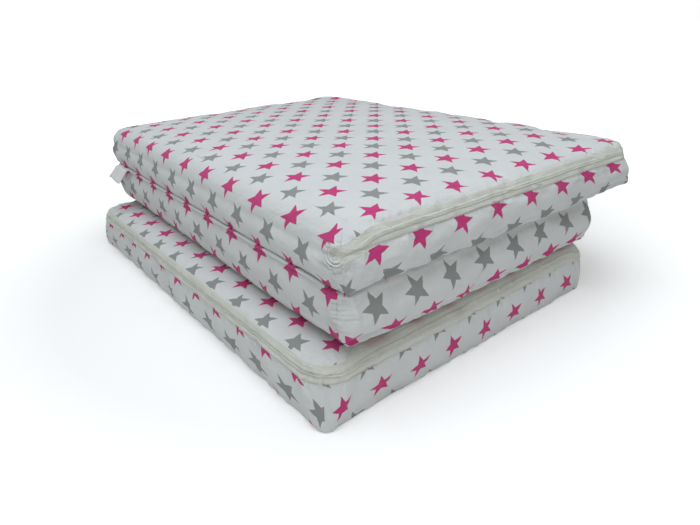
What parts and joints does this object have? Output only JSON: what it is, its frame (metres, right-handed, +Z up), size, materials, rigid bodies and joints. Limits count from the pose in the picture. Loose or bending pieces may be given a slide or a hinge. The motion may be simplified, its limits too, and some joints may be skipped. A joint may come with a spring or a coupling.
{
  "type": "folding mattress",
  "caption": "Foam mattress in three panels that fold in a Z, in a star-print cotton cover with zips round its end panels and a label in the upper fold.",
  "frame": {"origin": "on the floor under the middle of the folded stack", "axes": "+Z up; Y runs along the mattress's width; X runs along the panels' length, with the upper fold at -X and the lower fold at +X"},
  "size_m": [0.4604, 0.6038, 0.1806],
  "materials": {
    "printed_cotton": "matte",
    "foam": "matte",
    "zip_tape": "matte",
    "zip_coil": "satin",
    "zip_metal": "satin",
    "label_cloth": "satin"
  },
  "bodies": {
    "bottom_panel": {"bottom_foam": "foam", "bottom_inner_sheet": "printed_cotton", "bottom_outer_sheet": "printed_cotton", "bottom_front_band": "printed_cotton", "bottom_end_band": "printed_cotton", "bottom_back_band": "printed_cotton", "bottom_zip_upper_tape": "zip_tape", "bottom_zip_lower_tape": "zip_tape", "bottom_zip_upper_coil": "zip_coil", "bottom_zip_lower_coil": "zip_coil"},
    "middle_panel": {"middle_foam": "foam", "middle_upper_sheet": "printed_cotton", "middle_lower_sheet": "printed_cotton", "middle_front_band": "printed_cotton", "middle_back_band": "printed_cotton", "label": "label_cloth", "upper_fold_cloth": "printed_cotton", "lower_fold_cloth": "printed_cotton"},
    "top_panel": {"top_foam": "foam", "top_outer_sheet": "printed_cotton", "top_inner_sheet": "printed_cotton", "top_front_band": "printed_cotton", "top_end_band": "printed_cotton", "top_back_band": "printed_cotton", "top_zip_upper_tape": "zip_tape", "top_zip_lower_tape": "zip_tape", "top_zip_upper_coil": "zip_coil", "top_zip_lower_coil": "zip_coil"},
    "bottom_slider": {"bottom_zip_slider": "zip_metal"},
    "bottom_pull": {"bottom_zip_pull": "zip_metal"},
    "top_slider": {"top_zip_slider": "zip_metal"},
    "top_pull": {"top_zip_pull": "zip_metal"}
  },
  "joints": [
    {"name": "lower_fold", "type": "hinge", "parent": "bottom_panel", "child": "middle_panel", "pos_m": [0.1805, 0, 0.06015], "axis": [0, 1, 0], "range_deg": [0, 180]},
    {"name": "upper_fold", "type": "hinge", "parent": "middle_panel", "child": "top_panel", "pos_m": [-0.1905, 0, 0.12045], "axis": [0, -1, 0], "range_deg": [0, 180]},
    {"name": "bottom_zip_travel", "type": "slide", "parent": "bottom_panel", "child": "bottom_slider", "axis": [-1, 0, 0], "range_m": [0, 0.31]},
    {"name": "bottom_pull_swing", "type": "hinge", "parent": "bottom_slider", "child": "bottom_pull", "pos_m": [0.131, 0.29557, 0.05094], "axis": [0, 0.4695, -0.8829], "range_deg": [0, 180]},
    {"name": "top_zip_travel", "type": "slide", "parent": "top_panel", "child": "top_slider", "axis": [1, 0, 0], "range_m": [0, 0.32]},
    {"name": "top_pull_swing", "type": "hinge", "parent": "top_slider", "child": "top_pull", "pos_m": [-0.141, 0.29557, 0.16254], "axis": [0, -0.4695, 0.8829], "range_deg": [0, 180]}
  ]
}
